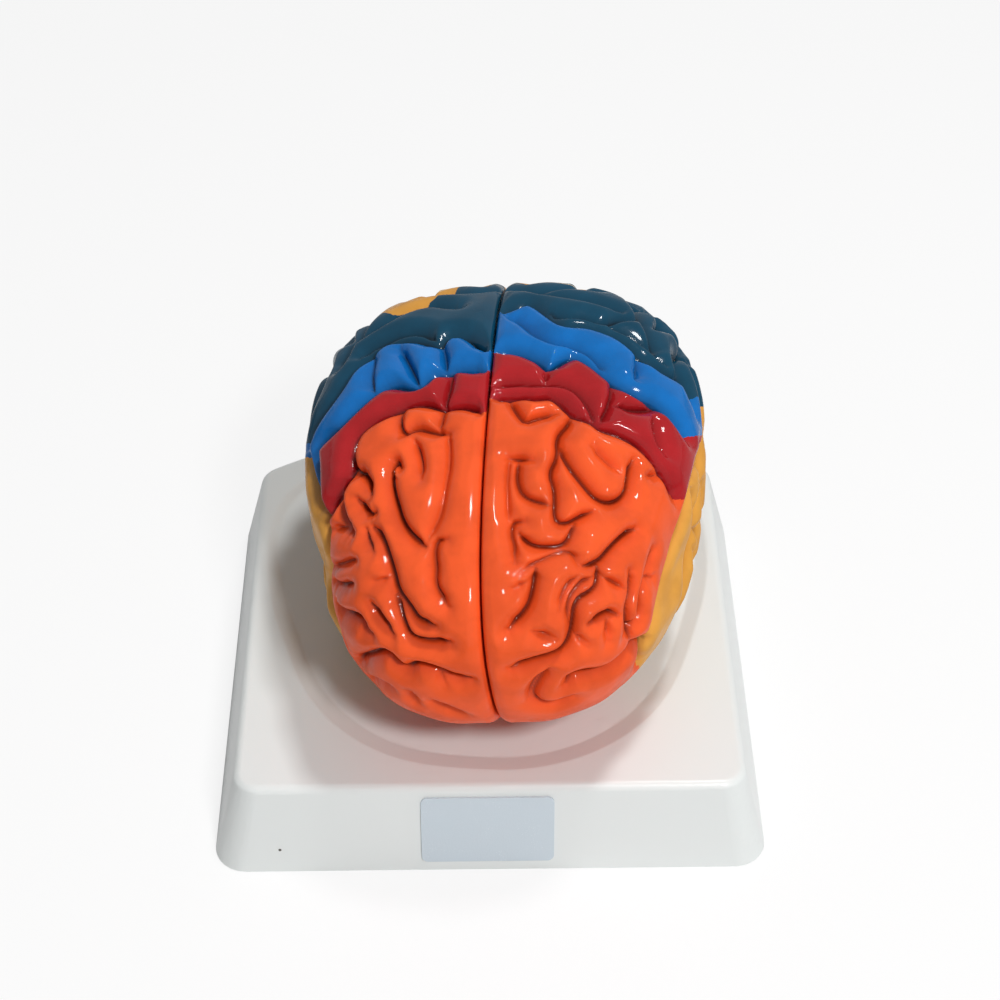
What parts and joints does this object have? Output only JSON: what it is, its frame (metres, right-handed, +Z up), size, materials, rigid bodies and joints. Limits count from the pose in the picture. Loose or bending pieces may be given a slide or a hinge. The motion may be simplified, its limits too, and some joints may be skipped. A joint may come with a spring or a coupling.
{
  "type": "brain anatomy model",
  "caption": "Life-size brain teaching model in coloured lobes that part on locating pins, resting in the egg-shaped recess of a white moulded base with a blank name plate.",
  "frame": {"origin": "middle of the footprint on the table, under the base", "axes": "+Z up, front of the base with the name plate towards -Y, +X to the right as seen from the front"},
  "size_m": [0.2022, 0.2144, 0.1537],
  "materials": {
    "base_white": "gloss",
    "plate_silver": "satin",
    "lobe_orange": "gloss",
    "lobe_yellow": "gloss",
    "stem_cream": "satin",
    "cerebellum_beige": "satin",
    "pin_steel": "satin"
  },
  "bodies": {
    "stand": {"base": "base_white", "name_plate": "plate_silver", "left_frontoparietal_lobe": "lobe_orange", "left_brainstem": "stem_cream", "midline_pins": "pin_steel", "left_lobe_pins": "pin_steel", "left_cerebellum_pin": "pin_steel"},
    "right_half": {"right_frontoparietal_lobe": "lobe_orange", "right_brainstem": "stem_cream", "right_lobe_pins": "pin_steel", "right_cerebellum_pin": "pin_steel"},
    "left_temporal": {"left_temporooccipital_lobe": "lobe_yellow"},
    "right_temporal": {"right_temporooccipital_lobe": "lobe_yellow"},
    "left_cerebellum_half": {"left_cerebellum": "cerebellum_beige"},
    "right_cerebellum_half": {"right_cerebellum": "cerebellum_beige"}
  },
  "joints": [
    {"name": "right_half_slide", "type": "slide", "parent": "stand", "child": "right_half", "axis": [0.9902, -0.0814, 0.1132], "range_m": [0, 0.012]},
    {"name": "left_temporal_slide", "type": "slide", "parent": "stand", "child": "left_temporal", "axis": [-0.9902, 0.0814, -0.1132], "range_m": [0, 0.012]},
    {"name": "right_temporal_slide", "type": "slide", "parent": "right_half", "child": "right_temporal", "axis": [0.9902, -0.0814, 0.1132], "range_m": [0, 0.012]},
    {"name": "left_cerebellum_slide", "type": "slide", "parent": "stand", "child": "left_cerebellum_half", "axis": [0.0718, 0.9937, 0.0866], "range_m": [0, 0.012]},
    {"name": "right_cerebellum_slide", "type": "slide", "parent": "right_half", "child": "right_cerebellum_half", "axis": [0.0718, 0.9937, 0.0866], "range_m": [0, 0.012]}
  ]
}
